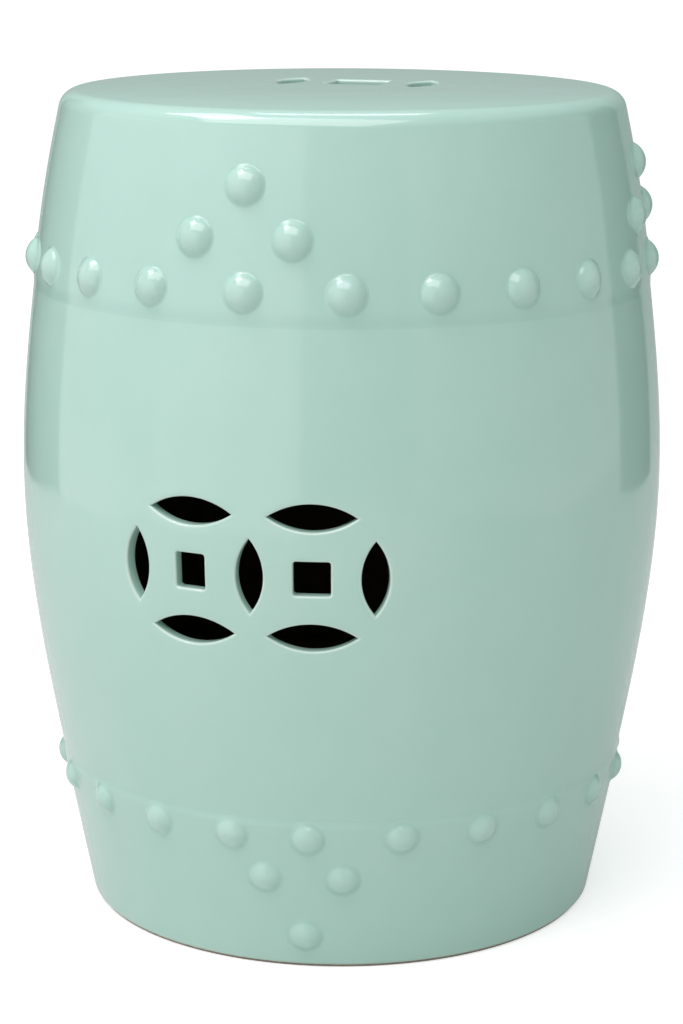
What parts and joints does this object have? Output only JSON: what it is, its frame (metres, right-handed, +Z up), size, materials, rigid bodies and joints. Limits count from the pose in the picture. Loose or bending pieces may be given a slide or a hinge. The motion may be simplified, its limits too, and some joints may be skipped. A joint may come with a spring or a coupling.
{
  "type": "ceramic garden stool",
  "caption": "Barrel-shaped ceramic garden stool with a crowned seat, pierced hand-hold, pierced double-coin motif and bands of drum-nail studs.",
  "frame": {"origin": "centre of the foot ring's underside, on the floor", "axes": "+Z up along the drum's axis; -Y towards the front double coin; +X to the right of it"},
  "size_m": [0.3556, 0.3556, 0.457],
  "materials": {
    "glazed_stoneware": "glossy opaque celadon-mint glaze",
    "bare_stoneware": "unglazed, fired, matt"
  },
  "bodies": {
    "root": {"seat_slab": "glazed_stoneware", "upper_band": "glazed_stoneware", "belly_wall": "glazed_stoneware", "lower_band": "glazed_stoneware", "foot_ring": "bare_stoneware", "seat_joint_coil": "bare_stoneware", "upper_joint_coil": "bare_stoneware", "lower_joint_coil": "bare_stoneware", "upper_row_studs": "glazed_stoneware", "front_upper_triangle_studs": "glazed_stoneware", "right_upper_triangle_studs": "glazed_stoneware", "back_upper_triangle_studs": "glazed_stoneware", "left_upper_triangle_studs": "glazed_stoneware", "lower_row_studs": "glazed_stoneware", "front_lower_triangle_studs": "glazed_stoneware", "back_lower_triangle_studs": "glazed_stoneware"}
  },
  "joints": []
}
